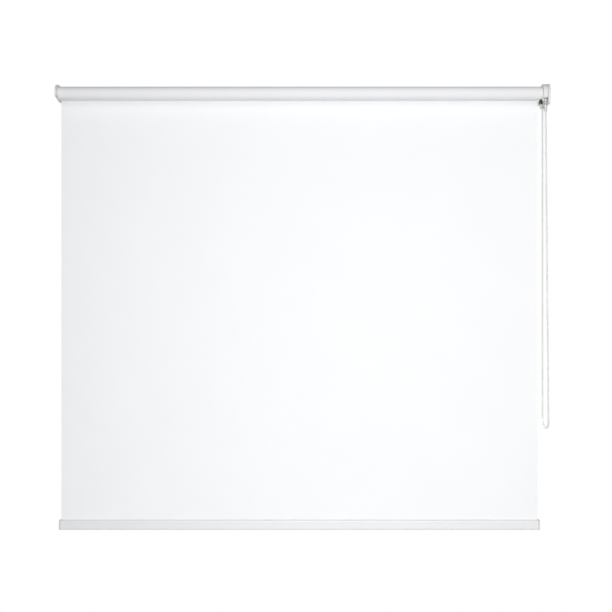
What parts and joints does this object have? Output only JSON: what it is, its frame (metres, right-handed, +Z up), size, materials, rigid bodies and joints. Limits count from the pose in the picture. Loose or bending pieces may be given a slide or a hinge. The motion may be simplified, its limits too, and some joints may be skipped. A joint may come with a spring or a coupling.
{
  "type": "roller blind",
  "caption": "Chain-operated roller blind with a white fabric drop, aluminium roller, wall brackets and a weighted bottom rail.",
  "frame": {"origin": "on the wall plane, level with the roller's axis and midway between the four bracket screw holes", "axes": "+X along the roller towards the chain side, +Y into the wall, +Z up; the blind is shown lowered"},
  "size_m": [0.992, 0.0426, 0.9016],
  "materials": {
    "white_fabric": "fine plain weave, matt",
    "white_plastic": "moulded, satin",
    "grey_plastic": "moulded, light grey",
    "black_plastic": "moulded nylon",
    "white_steel": "powder coated",
    "bare_aluminium": "mill finish, extruded",
    "white_aluminium": "white powder coat",
    "spring_steel": "bright wire",
    "chain_metal": "nickel plated beads",
    "adhesive_tape": "double-sided tape"
  },
  "bodies": {
    "root": {"left_bracket": "white_steel", "right_bracket": "white_steel", "left_bracket_cover": "white_plastic", "right_bracket_cover": "white_plastic", "pin_bush": "white_plastic", "clutch_core": "black_plastic", "core_clip": "spring_steel", "wheel_washer": "spring_steel", "chain_guard": "grey_plastic", "chain_stripper": "black_plastic", "bead_chain": "chain_metal", "fabric_sheet": "white_fabric"},
    "roller": {"roller_tube": "bare_aluminium", "fabric_roll": "white_fabric", "fabric_tape": "adhesive_tape", "idle_plug": "white_plastic", "idle_spring": "spring_steel", "drive_hub": "white_plastic", "wrap_springs": "spring_steel"},
    "pin": {"idle_pin": "spring_steel", "pin_clip": "spring_steel"},
    "wheel": {"chain_wheel": "grey_plastic"},
    "connector": {"chain_connector": "chain_metal"},
    "rail": {"bottom_rail": "white_aluminium", "hem_spline": "white_plastic", "rail_cap_left": "white_plastic", "rail_cap_right": "white_plastic"}
  },
  "joints": [
    {"name": "roller_spin", "type": "hinge", "parent": "root", "child": "roller", "pos_m": [0, -0.024, 0], "axis": [1, 0, 0], "range_deg": [0, 3090]},
    {"name": "wheel_spin", "type": "hinge", "parent": "root", "child": "wheel", "pos_m": [0, -0.024, 0], "axis": [1, 0, 0], "range_deg": [0, 3090]},
    {"name": "rail_lift", "type": "slide", "parent": "root", "child": "rail", "axis": [0, 0, 1], "range_m": [0, 0.8292], "deforming": ["fabric_sheet"]},
    {"name": "connector_run", "type": "slide", "parent": "root", "child": "connector", "axis": [0.0087, 0, -1], "range_m": [0, 0.6182]},
    {"name": "pin_retract", "type": "slide", "parent": "roller", "child": "pin", "axis": [1, 0, 0], "range_m": [0, 0.005], "stiffness_N_per_m": 400, "springref_m": -0.004, "deforming": ["idle_spring"]}
  ],
  "couplings": [
    {"joint": "wheel_spin", "follows": "roller_spin", "ratio": 1},
    {"joint": "rail_lift", "follows": "roller_spin", "m_per_rad": 0.015372},
    {"joint": "connector_run", "follows": "roller_spin", "m_per_rad": 0.011459}
  ]
}
